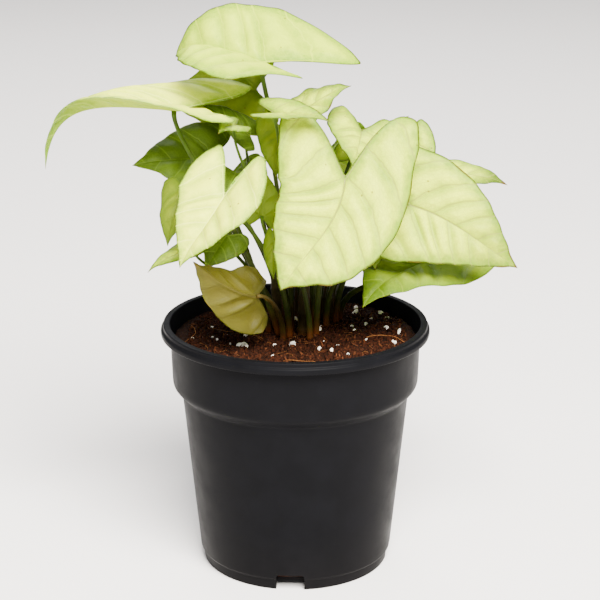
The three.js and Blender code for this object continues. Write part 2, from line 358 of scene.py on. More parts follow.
@dataclass(frozen=True)
class FleshyStem(Finish):
    """Living stem tissue with a waxy skin: a satin gloss, fine lengthwise streaks, and a browner foot.

    The attribute "along" runs from 0 at the soil to 1 at the top, and "around" once round the stem.
    """

    middle: str
    top: str
    streak: str
    foot_end: float = 0.16
    mottle_mm: float = 4.0
    streaks_per_turn: float = 9.0

    def shading(self, node: AddNode) -> tuple[tuple, dict]:
        """Change the foot's colour to the middle's and the top's, and streak it."""
        along, around = (node("ShaderNodeAttribute", out="Fac", attribute_name=name)
                         for name in ("along", "around"))
        place = node("ShaderNodeTexCoord", out="Object")
        rising = node("ShaderNodeMapRange", (along, 0.02, self.foot_end), interpolation_type="SMOOTHSTEP")
        high = node("ShaderNodeMapRange", (along, 0.45, 1.0))
        strip = node("ShaderNodeCombineXYZ", (around, along))
        streaks = node("ShaderNodeTexNoise", {"Vector": strip, "Scale": self.streaks_per_turn, "Detail": 3.0})
        mottle = node("ShaderNodeTexNoise", {
            "Vector": place, "Scale": 1 / (self.mottle_mm * MM), "Detail": 3.0})
        marks = node("ShaderNodeMath", (streaks, mottle), operation="MULTIPLY")
        shade = node("ShaderNodeMapRange", (marks, 0.2, 0.38, 0.0, 0.55))
        bump = node("ShaderNodeBump", {"Height": marks, "Strength": 0.4, "Distance": 0.15 * MM})
        return ((rising, self.middle), (high, self.top), (shade, self.streak)), {
            "Roughness": 0.5, "IOR": 1.42, "Specular IOR Level": 0.12, "Subsurface Weight": 0.1,
            "Subsurface Scale": 1.0 * MM, "Normal": bump}


@dataclass(frozen=True)
class LeafTissue(Finish):
    """A thin leaf under a waxy cuticle: satin, softly lit through, with sunken veins and a greener margin.

    The blade's attributes are lengths in millimetres, but for "vein", which is a whole number on each side
    vein, "under", which is 1 on the underside, "plain", which is 1 where painted shade turns the tip a deeper
    green, and "scorch", which is 1 where it has died back.
    """

    margin: str
    veins: str
    underside: str
    # Colour of the thin dark line along the margin, and of the painted shade by the tip.
    rim_and_tip_shade: str
    slot: str = "pale_blade"
    margin_mm: float = 6.0
    mottle: float = 0.45
    vein_strength: float = 0.55
    # How much greener the tissue is beside the side veins: partly variegation, partly painted shade of the
    # sunken veins.
    vein_shade: float = 0.36
    specks: float = 0.12
    brown: str = "#4c3a16"
    net_mm: float = 1.7
    wander_per_mm: float = 0.15  # how often veins stray from their lines
    ragged_per_mm: float = 0.3  # how often the edges of marks fray
    patches_per_mm: float = 0.08
    specks_per_mm: float = 0.22
    underside_share: float = 0.6
    gloss: float = 0.46

    def shading(self, node: AddNode) -> tuple[tuple, dict]:
        """Lay the green parts, the veins, the dead edges, the painted tip shade and the underside's colour
        over the pale tissue.
        """
        read = {
            name: node("ShaderNodeAttribute", out="Fac", attribute_name=name)
            for name in ("flat_x", "flat_y", "vein", "spacing", "margin", "rib", "under", "plain", "scorch")
        }
        flat = node("ShaderNodeCombineXYZ", (read["flat_x"], read["flat_y"]))
        ragged = node("ShaderNodeTexNoise", {
            "Vector": flat, "Scale": self.ragged_per_mm, "Detail": 4.0, "Roughness": 0.65})
        lines = self._veins(node, flat, read)
        green = self._green(node, flat, ragged, read)
        rim = node("ShaderNodeMapRange", (read["margin"], 0.25, 1.2, 0.95, 0.0))
        brown = self._brown(node, flat, ragged, read["scorch"])
        turned_over = node("ShaderNodeMath", (read["under"], self.underside_share), operation="MULTIPLY")
        sunk = node("ShaderNodeMath", (lines, -1.0), operation="MULTIPLY")
        bump = node("ShaderNodeBump", {"Height": sunk, "Strength": 0.55, "Distance": 0.3 * MM})
        rough = node("ShaderNodeMapRange", (ragged, 0.3, 0.7, self.gloss - 0.06, self.gloss + 0.1))
        # Painted shade: the "plain" layer turns the tip a deeper green, as if it lay in shadow.
        return (
            (green, self.margin), (rim, self.rim_and_tip_shade), (read["plain"], self.rim_and_tip_shade), (lines, self.veins),
            (brown, self.brown), (turned_over, self.underside),
        ), {
            "Roughness": rough, "IOR": 1.42, "Specular IOR Level": 0.14, "Subsurface Weight": 0.25,
            "Subsurface Radius": (1.0, 1.1, 0.3), "Subsurface Scale": 0.9 * MM, "Normal": bump}

    def _veins(self, node: AddNode, flat: Socket, read: dict[str, Socket]) -> Socket:
        """Draw the ribs, the side veins, the vein along the margin and the fine net between them.

        Args:
            node: Adds a node to the material.
            flat: Place on the flat blade, in millimetres.
            read: The blade's attributes.

        Returns:
            A socket that is 1 on the strongest vein and 0 between the veins.
        """
        wander = node("ShaderNodeTexNoise", {"Vector": flat, "Scale": self.wander_per_mm, "Detail": 2.0})
        phase = node("ShaderNodeMath", (wander, 0.22, read["vein"]), operation="MULTIPLY_ADD")
        families = []
        for count, core_mm, edge_mm in ((1, 0.1, 0.55), (3, 0.03, 0.3)):
            scaled = node("ShaderNodeMath", (phase, float(count)), operation="MULTIPLY")
            away = node("ShaderNodeMath", (scaled, 0.5), operation="PINGPONG")
            length = node("ShaderNodeMath", (away, read["spacing"]), operation="MULTIPLY")
            families.append(node("ShaderNodeMapRange", (length, core_mm * count, edge_mm * count, 1.0, 0.0),
                                 interpolation_type="SMOOTHSTEP"))
        side, between = families
        room = node("ShaderNodeMapRange", (read["spacing"], 3.0, 8.0), interpolation_type="SMOOTHSTEP")
        between = node("ShaderNodeMath", (between, room), operation="MULTIPLY")
        net = node("ShaderNodeTexVoronoi", {"Vector": flat, "Scale": 1 / self.net_mm},
                   feature="DISTANCE_TO_EDGE")
        net = node("ShaderNodeMapRange", (net, 0.0, 0.12, 0.8, 0.0))
        inset = node("ShaderNodeMath", (wander, -1.6, read["margin"]), operation="MULTIPLY_ADD")
        beside = node("ShaderNodeMath", (inset, 1.6), operation="SUBTRACT")
        beside = node("ShaderNodeMath", (beside,), operation="ABSOLUTE")
        collective = node("ShaderNodeMapRange", (beside, 0.05, 0.4, 0.9, 0.0))
        rib = node("ShaderNodeMapRange", (read["rib"], -0.2, 0.25, 1.0, 0.0), interpolation_type="SMOOTHSTEP")
        strongest = None
        for drawn, weight in ((rib, 1.5), (side, 1.0), (between, 0.4), (collective, 0.35), (net, 0.5)):
            weighed = node("ShaderNodeMath", (drawn, weight * self.vein_strength), operation="MULTIPLY",
                           use_clamp=True)
            strongest = weighed if strongest is None else node(
                "ShaderNodeMath", (strongest, weighed), operation="MAXIMUM")
        return strongest

    def _green(self, node: AddNode, flat: Socket, ragged: Socket, read: dict[str, Socket]) -> Socket:
        """Find where the tissue is greener: in patches, beside the veins and towards the margin.

        Beside the veins it is partly variegation and partly painted shade of the sunken veins.

        Args:
            node: Adds a node to the material.
            flat: Place on the flat blade, in millimetres.
            ragged: A fine noise that breaks up edges.
            read: The blade's attributes.

        Returns:
            A socket that is 1 where the tissue is as green as the margin.
        """
        inward = node("ShaderNodeMath", (ragged, -self.margin_mm, read["margin"]), operation="MULTIPLY_ADD")
        edge = node("ShaderNodeMapRange", (inward, -0.55 * self.margin_mm, 0.6 * self.margin_mm, 0.85, 0.0),
                    interpolation_type="SMOOTHSTEP")
        patches = node("ShaderNodeTexNoise", {
            "Vector": flat, "Scale": self.patches_per_mm, "Detail": 5.0, "Roughness": 0.62})
        blotch = node("ShaderNodeMapRange", (patches, 0.42, 0.74, 0.0, self.mottle))
        # Greener beside each side vein: partly variegation, partly painted shade of the sunken vein.
        away = node("ShaderNodeMath", (read["vein"], 0.5), operation="PINGPONG")
        beside = node("ShaderNodeMath", (away, ragged), operation="MULTIPLY")
        beside = node("ShaderNodeMapRange", (beside, 0.0, 0.2, self.vein_shade, 0.0),
                      interpolation_type="SMOOTHSTEP")
        blotch = node("ShaderNodeMath", (blotch, beside), operation="ADD")
        return node("ShaderNodeMath", (edge, blotch), operation="MAXIMUM")

    def _brown(self, node: AddNode, flat: Socket, ragged: Socket, scorch: Socket) -> Socket:
        """Find the dead brown edges and the small brown specks.

        Args:
            node: Adds a node to the material.
            flat: Place on the flat blade, in millimetres.
            ragged: A fine noise that breaks up edges.
            scorch: Where the blade has died back.

        Returns:
            A socket that is 1 where the tissue is dead.
        """
        broken = node("ShaderNodeMath", (ragged, 0.5, scorch), operation="MULTIPLY_ADD")
        dead = node("ShaderNodeMapRange", (broken, 0.55, 0.85))
        spots = node("ShaderNodeTexVoronoi", {"Vector": flat, "Scale": self.specks_per_mm}).node.outputs
        chosen = node("ShaderNodeSeparateColor", (spots["Color"],))
        chosen = node("ShaderNodeMath", (chosen, 1 - self.specks), operation="GREATER_THAN")
        spot = node("ShaderNodeMapRange", (spots["Distance"], 0.05, 0.13, 0.7, 0.0))
        speck = node("ShaderNodeMath", (spot, chosen), operation="MULTIPLY")
        return node("ShaderNodeMath", (dead, speck), operation="MAXIMUM")


@dataclass(frozen=True)
class StudioPaper(Finish):
    """Matt off-white background paper."""

    name: str = "background_paper"
    body: str = "#f5f0ee"

    def shading(self, node: AddNode) -> tuple[tuple, dict]:
        """Leave the paper plain."""
        return (), {"Roughness": 0.9}


# -------------------------------------------------------------------------------------------- pot
def rounded(corners: list[Point], steps: int = 4) -> list[Pair]:
    """Round the corners of an open outline.

    Args:
        corners: Radius, height and corner rounding of each corner, in millimetres.
        steps: Segments in each rounded corner.

    Returns:
        The rounded outline, in metres.
    """
    places = [Vector((radius, height)) for radius, height, _ in corners]
    outline = [places[0]]
    for before, here, after, (_, _, size) in zip(places, places[1:], places[2:], corners[1:]):
        back, ahead = before - here, after - here
        start = here + back.normalized() * min(size, 0.45 * back.length)
        end = here + ahead.normalized() * min(size, 0.45 * ahead.length)
        for i in range(steps + 1):
            t = i / steps
            outline.append(start * (1 - t) ** 2 + here * 2 * t * (1 - t) + end * t ** 2)
    outline.append(places[-1])
    return [(point.x * MM, point.y * MM) for point in outline]


def turned(profile: list[Pair], sides: int) -> tuple[list, list]:
    """Turn an outline that starts and ends on the axis about +Z.

    Args:
        profile: Radius and height of each point, in metres.
        sides: Segments round the axis.

    Returns:
        Vertex places and faces of the closed body.
    """
    angles = np.linspace(0, 2 * math.pi, sides, endpoint=False)
    points = [(r * math.cos(a), r * math.sin(a), z) for r, z in profile[1:-1] for a in angles]
    return points + [(0, 0, profile[0][1]), (0, 0, profile[-1][1])], capped(len(profile) - 2, sides)


@dataclass
class NurseryPot:
    """The moulded pot: two-step lip, collar, tapering body and a foot with four drain slots. Millimetres."""

    height: float
    lip_radius: float
    foot_radius: float = 46.2
    body_radius: float = 47.2
    body_taper: float = 0.1
    body_top: float = 88.0
    collar_foot: float = 94.0
    collar_radius: float = 61.0
    lip_foot: float = 117.7
    wall: float = 1.4
    floor: float = 1.8
    pad_radius: float = 30.0
    gutter_rise: float = 3.0
    slots: int = 4
    slot_width: float = 13.7
    slot_height: float = 8.5
    slot_rounding: float = 1.6
    slot_reach: Pair = (-4.5, 8.0)
    slot_overlap: float = 2.0
    slot_turn: float = -93.0
    sharp_angle: float = 38.0
    sides: int = 240

    def outline(self) -> list[Pair]:
        """The wall's section, from the underside's middle up over the lip and down to the floor's middle."""
        rim = self.lip_radius - 1.2
        body_foot = self.body_radius + self.body_taper * 6.4
        body_head = self.body_radius + self.body_taper * self.body_top
        body_floor = self.body_radius + self.body_taper * 8
        raised = self.gutter_rise + self.floor
        return rounded([
            (0, 0, 0), (self.pad_radius, 0, 0.4), (self.pad_radius + 3, self.gutter_rise, 0.6),
            (self.foot_radius - 4, self.gutter_rise, 0.6), (self.foot_radius - 3, 0, 0.4),
            (self.foot_radius, 0, 1.0), (self.foot_radius + 0.5, 5.2, 0.5), (body_foot, 6.4, 0.6),
            (body_head, self.body_top, 1.0), (self.collar_radius - 1.1, self.body_top + 3.8, 1.6),
            (self.collar_radius - 0.4, self.collar_foot, 2.0),
            (self.collar_radius + 0.4, self.lip_foot - 0.2, 0.7), (self.lip_radius - 0.3, self.lip_foot, 0.5),
            (self.lip_radius, self.lip_foot + 0.9, 0.5), (self.lip_radius, self.height - 2.8, 0.8),
            (rim, self.height - 1.9, 0.5), (rim, self.height, 0.7), (rim - 3.3, self.height, 0.5),
            (self.collar_radius + 0.4 - self.wall, self.lip_foot - 3, 2.0),
            (self.collar_radius - 0.4 - self.wall, self.collar_foot, 2.0),
            (self.collar_radius - 2.6 - self.wall, self.body_top + 3.4, 1.2),
            (body_head - self.wall, self.body_top - 0.6, 2.0), (body_floor - self.wall, 8, 1.5),
            (self.foot_radius - 1.6, raised, 0.6), (self.pad_radius + 2.2, raised, 0.6),
            (self.pad_radius - 0.8, self.floor, 0.5), (0, self.floor, 0),
        ])

    def slot_cutters(self, corner_steps: int = 5) -> Piece:
        """Make the drain slots' cutters: upright blocks with rounded upper corners, in one object.

        Args:
            corner_steps: Segments in each rounded corner.

        Returns:
            The cutters, which are removed once they have cut.
        """
        half, round_off = self.slot_width / 2, self.slot_rounding
        section = [(-half, -self.slot_overlap), (half, -self.slot_overlap)]
        for side, start in ((1, 0.0), (-1, 90.0)):
            for i in range(corner_steps + 1):
                angle = math.radians(start + 90 * i / corner_steps)
                section.append((side * (half - round_off) + round_off * math.cos(angle),
                                self.slot_height - round_off + round_off * math.sin(angle)))
        points, faces, count = [], [], len(section)
        for i in range(self.slots):
            turn = math.radians(self.slot_turn + 360 * i / self.slots)
            out = Vector((math.cos(turn), math.sin(turn), 0))
            across = Vector((-math.sin(turn), math.cos(turn), 0))
            first = len(points)
            points += [(out * reach + across * x + Vector((0, 0, z))) * MM
                       for reach in (self.foot_radius + far for far in self.slot_reach) for x, z in section]
            faces += band(first, first + count, count)
            faces += [range(start, start + count) for start in (first, first + count)]
        return new_piece("slot_cutters", points, faces)

    def build(self) -> None:
        """Build the pot and put it in place of its CAD node."""
        body = new_piece("pot_blank", *turned(self.outline(), self.sides), MouldedPolypropylene().material())
        cutters = self.slot_cutters()
        cut = body.modifiers.new("drain_slots", "BOOLEAN")
        cut.operation = "DIFFERENCE"
        cut.solver = "EXACT"
        cut.object = cutters
        pot = frozen(body, "nursery_pot")
        bpy.data.objects.remove(cutters)
        pot.data.set_sharp_from_angle(angle=math.radians(self.sharp_angle))
        install(pot, "black_plastic", "pot")


# ------------------------------------------------------------------------------------------- soil
class BitShape(Enum):
    """What a loose bit starts from."""

    GRAIN = "grain"
    FIBRE = "fibre"


@dataclass(frozen=True)
class Scatter:
    """Loose bits on the soil, made by a Geometry Nodes tree. Sizes are in millimetres."""

    name: str
    per_cm2: float
    smallest: Point
    largest: Point
    roughening: float
    lift: float
    seed: int
    rough_mm: float = 3.0
    shape: BitShape = BitShape.GRAIN
    subdivisions: int = 1
    segments: int = 6
    tumble: float = math.tau

    def one_bit(self, node: AddNode) -> Socket:
        """Make the bit that is repeated and scaled, 1 m long: a ball, or a bent hair.

        Args:
            node: Adds a node to the scatter's tree.

        Returns:
            The bit's geometry.
        """
        if self.shape is BitShape.GRAIN:
            return node("GeometryNodeMeshIcoSphere", {"Radius": 0.5, "Subdivisions": self.subdivisions})
        spine = node("GeometryNodeCurveQuadraticBezier", {
            "Resolution": self.segments, "Start": (-0.5, 0.0, 0.0), "Middle": (0.0, 0.35, 0.12),
            "End": (0.5, 0.0, 0.0)})
        section = node("GeometryNodeCurvePrimitiveCircle", {"Resolution": 4, "Radius": 0.009})
        return node("GeometryNodeCurveToMesh", {"Curve": spine, "Profile Curve": section, "Fill Caps": True})

    def build(self, ground: Piece, material: Material) -> Piece:
        """Scatter the bits over a surface and turn them into one plain mesh.

        Args:
            ground: The surface, which stays as it is.
            material: The bits' material.

        Returns:
            The finished bits.
        """
        tree = bpy.data.node_groups.new(self.name, "GeometryNodeTree")
        node = partial(add_node, tree)
        for way in ("OUTPUT", "INPUT"):
            tree.interface.new_socket("Geometry", in_out=way, socket_type="NodeSocketGeometry")
        wanted = {
            "Density": ("NodeSocketFloat", self.per_cm2 * 1e4), "Seed": ("NodeSocketInt", self.seed),
            "Smallest": ("NodeSocketVector", [size * MM for size in self.smallest]),
            "Largest": ("NodeSocketVector", [size * MM for size in self.largest]),
            "Roughening": ("NodeSocketFloat", self.roughening * MM),
            "Lift": ("NodeSocketFloat", self.lift * MM),
            "Tumble": ("NodeSocketVector", [self.tumble, self.tumble, math.tau]),
        }
        sockets = {name: tree.interface.new_socket(name, in_out="INPUT", socket_type=kind)
                   for name, (kind, _) in wanted.items()}
        given = node("NodeGroupInput").node.outputs
        spots = node("GeometryNodeDistributePointsOnFaces", {
            "Mesh": given["Geometry"], "Density": given["Density"], "Seed": given["Seed"]})
        size = node("FunctionNodeRandomValue", {
            0: given["Smallest"], 1: given["Largest"], "Seed": given["Seed"]}, data_type="FLOAT_VECTOR")
        turn = node("FunctionNodeRandomValue", {1: given["Tumble"], "Seed": given["Seed"]},
                    data_type="FLOAT_VECTOR")
        bits = node("GeometryNodeInstanceOnPoints", {
            "Points": spots, "Instance": self.one_bit(node), "Rotation": turn, "Scale": size})
        real = node("GeometryNodeRealizeInstances", {"Geometry": bits})
        place = node("GeometryNodeInputPosition")
        lumps = node("ShaderNodeTexNoise", {
            "Vector": place, "Scale": 1 / (self.rough_mm * MM), "Detail": 1.0}, "Color")
        centred = node("ShaderNodeVectorMath", (lumps, (0.5, 0.5, 0.5)), operation="SUBTRACT")
        pushed = node("ShaderNodeVectorMath", {0: centred, "Scale": given["Roughening"]}, operation="SCALE")
        raised = node("ShaderNodeCombineXYZ", {"Z": given["Lift"]})
        offset = node("ShaderNodeVectorMath", (pushed, raised), operation="ADD")
        moved = node("GeometryNodeSetPosition", {"Geometry": real, "Offset": offset})
        dressed = node("GeometryNodeSetMaterial", {"Geometry": moved, "Material": material})
        node("NodeGroupOutput", {"Geometry": dressed})

        carrier = placed(self.name + "_carrier", ground.data.copy())
        modifier = carrier.modifiers.new(self.name, "NODES")
        modifier.node_group = tree
        for name, (_, value) in wanted.items():
            modifier[sockets[name].identifier] = value
        return frozen(carrier, self.name)


@dataclass
class PottingMix:
    """The mix in the pot: a rough surface of coir pith with chips, perlite and fibres. Millimetres."""

    top: float
    radius: float
    relief: float = 1.5
    sunk: float = 0.35
    bank: float = 1.6
    bank_width: float = 12.0
    shell_top: float = 95.0
    shell: tuple[Pair, ...] = ((54.0, 86.0), (46.0, 9.0), (43.0, 5.5))
    clear_edge: float = 3.0
    sides: int = 300
    rings: int = 96

    def point(self, x: float, y: float) -> Point:
        """Find the place on the mix's rough top at x metres to the right and y to the back."""
        place = Vector((x, y, 0)) / MM
        broad = noise.noise(place / 21)
        clods = noise.noise(place / 6.5 + Vector((7, 3, 1)))
        crumbs = noise.noise(place / 2.1 + Vector((1, 9, 4)))
        grit = noise.noise(place / 0.9 + Vector((4, 2, 8)))
        edge = max(0.0, math.hypot(x, y) / MM - self.radius + self.bank_width) / self.bank_width
        relief = 0.5 * broad + 0.7 * clods + 0.6 * crumbs + 0.25 * grit
        return x, y, self.top * MM + (self.relief * relief - self.bank * edge ** 2 - self.sunk) * MM

    def surface(self) -> tuple[list, list]:
        """Build the mix's rough top and the plain shell under it."""
        turns = [math.tau * side / self.sides for side in range(self.sides)]
        points = [self.point(0.0, 0.0)]
        for ring in range(1, self.rings + 1):
            reach = self.radius * MM * ring / self.rings
            points += [self.point(reach * math.cos(turn), reach * math.sin(turn)) for turn in turns]
        for radius, height in ((self.radius, self.shell_top), *self.shell):
            points += [(radius * MM * math.cos(turn), radius * MM * math.sin(turn), height * MM)
                       for turn in turns]
        last = len(points) - self.sides
        faces = fan(0, 1, self.sides)
        for low in range(1, last, self.sides):
            faces += band(low, low + self.sides, self.sides)
        return points, [*faces, range(last, len(points))]

    def top_only(self, reach: float, steps: int = 60) -> Piece:
        """Make a bare copy of the top for the scatters.

        Args:
            reach: Radius of the copy, in millimetres.
            steps: Squares across it.

        Returns:
            An object that the scatters use and that is removed afterwards.
        """
        line = [(2 * step / steps - 1) * reach * MM for step in range(steps + 1)]
        points = [self.point(x, y) for y in line for x in line]
        corners = [row * (steps + 1) + column for row in range(steps) for column in range(steps)]
        faces = [(first, first + 1, first + steps + 2, first + steps + 1) for first in corners
                 if math.hypot(*points[first][:2]) < (reach - 2) * MM]
        return placed("mix_top", plain_mesh("mix_top", points, faces))

    def build(self) -> None:
        """Build the mix and what lies on it."""
        pith = DampCoir("damp_coir_pith", "#0b0402", "#261004")
        install(new_piece("potting_mix", *self.surface(), pith.material()), "cocopeat", "soil")
        ground = self.top_only(self.radius - self.clear_edge)
        crumb = DampCoir("coir_crumbs", "#120602", "#38190a", clump_mm=3.0)
        chip = DampCoir("coir_chips", "#200e06", "#5c321a", clump_mm=4.0, roughness=0.8)
        fibre = DampCoir("coir_fibre", "#4a260f", "#8e5f34", clump_mm=6.0, roughness=0.7)
        perlite = ExpandedPerlite()
        scatters = (
            (Scatter("coir_crumbs", 30, (0.7, 0.7, 0.5), (3.8, 3.2, 2.4), 1.4, 0.1, 11), crumb),
            (Scatter("coir_chips", 4, (1.4, 0.5, 0.4), (5.0, 1.6, 1.2), 1.2, 0.3, 23), chip),
            (Scatter("perlite_grains", 0.3, (1.0, 0.9, 0.8), (2.8, 2.5, 2.2), 0.8, 0.4, 37, 1.5,
                     subdivisions=3), perlite),
            (Scatter("perlite_lumps", 0.13, (2.2, 1.9, 1.6), (4.4, 3.6, 3.0), 1.3, 0.6, 59, 2.2,
                     subdivisions=4), perlite),
            (Scatter("coir_hairs", 1.0, (3.0, 3.0, 3.0), (10.0, 10.0, 10.0), 1.6, 0.5, 51, 4.0,
                     shape=BitShape.FIBRE, tumble=0.25), fibre),
            (Scatter("coir_long_hairs", 0.1, (16.0, 12.0, 12.0), (34.0, 22.0, 22.0), 5.0, 0.8, 67, 12.0,
                     shape=BitShape.FIBRE, segments=16, tumble=0.1), fibre),
        )
        for scatter, finish in scatters:
            bits = scatter.build(ground, finish.material())
            bits.data.shade_smooth()
            install(bits, "cocopeat")
        bpy.data.objects.remove(ground)


# ---------------------------------------------------------------------------------- stems, stalks
def swept(
    name: str, path: Array, radii: Array, sides: int, material: Material, groove: float = 0.0
) -> Piece:
    """Sweep a round or grooved section along a path and close both ends.

    Args:
        name: The piece's name.
        path: Places along the middle, in metres.
        radii: The radius at each place, in metres.
        sides: Points round the section.
        material: The piece's material.
        groove: How deep the lengthwise groove is, as a share of the radius.

    Returns:
        The piece, with the attributes "along" and "around".
    """
    steps = len(path)
    tangents = np.gradient(path, axis=0)
    tangents /= np.linalg.norm(tangents, axis=1)[:, None]
    side = np.cross(tangents[0], (0.0, 1.0, 0.0))
    angles = np.linspace(0, math.tau, sides, endpoint=False)
    dent = 1 - groove * np.exp(-((np.minimum(angles, math.tau - angles) / 0.5) ** 2))
    points = []
    for place, tangent, radius in zip(path, tangents, radii):
        side = side - tangent * side.dot(tangent)
        side /= np.linalg.norm(side)
        other = np.cross(tangent, side)
        section = np.outer(np.cos(angles) * dent, side) + np.outer(np.sin(angles) * dent, other)
        points.append(place + section * radius)
    along = np.append(np.repeat(np.linspace(0, 1, steps), sides), (0, 1))
    around = np.append(np.tile(np.abs(angles / math.pi - 1) * 3, steps), (0, 0))
    points = np.vstack([*points, path[:1], path[-1:]])
    return new_piece(name, points, capped(steps, sides), material, {"along": along, "around": around})


def bezier(points: list[Array], steps: int, fine: int = 200) -> Array:
    """Walk a Bezier curve of any degree at even lengths.

    Args:
        points: The curve's control points.
        steps: Places along it.
        fine: Places that its length is measured by.

    Returns:
        The places, one row each.
    """
    t = np.linspace(0, 1, fine)[:, None]
    degree = len(points) - 1
    curve = sum(math.comb(degree, k) * (1 - t) ** (degree - k) * t ** k * point
                for k, point in enumerate(points))
    return evenly(curve, steps)


@dataclass(frozen=True)
class Cane:
    """A short climbing stem, ringed by its leaf scars. Millimetres."""

    name: str
    foot: Pair
    top: Point
    radius: float
    taper: float = 0.65
    sunk: float = 1.5
    closing_share: float = 0.06
    scar_spacing: float = 8.5
    scar_width: float = 0.7
    scar_swelling: float = 0.1
    blunt_share: float = 0.05
    steps: int = 60
    sides: int = 20

    def build(self, soil_top: float, material: Material) -> None:
        """Build the cane in place of its CAD node.

        Args:
            soil_top: Height of the soil, in millimetres.
            material: The cane's material.
        """
        start = np.array([*self.foot, soil_top - self.sunk]) * MM
        end = np.array(self.top) * MM
        middle = np.array([start[0], start[1], (start[2] + end[2]) / 2])
        path = bezier([start, middle, end], self.steps)
        along = np.linspace(0, 1, len(path))
        height = (path[:, 2] - path[0, 2]) / MM
        from_scar = (height % self.scar_spacing) - self.scar_spacing / 2
        scars = self.scar_swelling * np.exp(-(from_scar / self.scar_width) ** 2)
        closing = np.maximum(np.sqrt(np.clip((1 - along) / self.closing_share, 0, 1)), self.blunt_share)
        radii = self.radius * MM * (1 - self.taper * along ** 2) * (1 + scars) * closing
        install(swept(f"{self.name}_cane", path, radii, self.sides, material), "cane", f"cane_{self.name}")


CANES = (
    Cane("middle", (4, -3), (6, -4, 160), 3.0),
    Cane("left", (-9, 9), (-12, 8, 156), 2.6),
    Cane("right", (16, 22), (20, 22, 158), 2.8),
    Cane("rear", (2, 26), (0, 30, 152), 2.4),
)


# ----------------------------------------------------------------------------------------- leaves
class LeafTone(Enum):
    """Leaf finishes: three pale, one dying back, three greener; the darkest is partly painted shade."""

    IVORY = LeafTissue(
        "ivory_leaf_tissue", "#d8e234", "#7ca00a", "#e2e66c", "#5f8210", "#3f6404", mottle=0.3,
        vein_strength=0.45)
    CREAM = LeafTissue(
        "cream_leaf_tissue", "#b6ca0c", "#5e8602", "#c2d02c", "#5f8210", "#2c4402", margin_mm=9.0,
        mottle=0.38, vein_strength=0.42)
    PALE = LeafTissue(
        "pale_leaf_tissue", "#c8d81a", "#567e02", "#7e8238", "#688c12", "#2c4402", margin_mm=8.0, mottle=0.4,
        vein_strength=0.56)
    SPENT = LeafTissue(
        "ageing_leaf_tissue", "#4a440f", "#383a0c", "#1e1607", "#474212", "#383a0c", "olive_blade",
        mottle=0.6, specks=0.5, vein_strength=0.62)
    LIME = LeafTissue(
        "lime_leaf_tissue", "#7c900a", "#567404", "#6c7e18", "#5e7808", "#3c5404", "olive_blade", specks=0.3)
    OLIVE = LeafTissue(
        "olive_leaf_tissue", "#687608", "#465c06", "#586812", "#546808", "#3e5206", "olive_blade", mottle=0.7,
        specks=0.3)
    # Painted shade in part: this darker green is given to leaves that sit in shade inside and behind the
    # plant.
    GREEN = LeafTissue(
        "green_and_shaded_leaf_tissue", "#465a06", "#344604", "#5e7418", "#48600c", "#344604", "green_blade", mottle=0.4,
        gloss=0.5)


@dataclass(frozen=True)
class LeafForm:
    """One leaf, in millimetres and degrees.

    foot is where its stalk stands in the soil; junction and tip are the ends of its midrib; faces is the
    direction of its upper side and width its greatest width. lobes lengthens the back lobes, uneven makes
    the right one longer than the left one, flare spreads them, closed leans the left and the right one in
    over the notch, and full widens the blade towards its tip. arch and sway are how far the midrib bows to
    the upper side and to the right, seen with the tip down, fold is how far the halves stand up from the
    midrib, curl how far they bend back down, and twist how far the blade turns about its midrib by the tip.
    lean is where its stalk heads from the foot, and reach how far below the blade it bends. wave is the
    height of the ripple along its margin, tip_shade how far painted shade turns it a deeper green by its
    tip, brown_tip how far it has died back from the tip, and brown_edge how much of its margin has, from
    0 to 1.
    """

    name: str
    foot: Pair
    junction: Point
    tip: Point
    faces: Point
    width: float
    lobes: float = 1.0
    uneven: float = 0.0
    flare: float = 0.0
    closed: Pair = (0.0, 0.0)
    full: float = 0.0
    arch: float = 2.0
    sway: float = 0.0
    fold: float = 8.0
    curl: float = 16.0
    twist: float = 0.0
    lean: Pair = (0.0, 0.0)
    reach: float = 14.0
    wave: float = 0.7
    tip_shade: float = 0.0
    brown_tip: float = 0.8
    brown_edge: float = 0.25
    tone: LeafTone = LeafTone.PALE


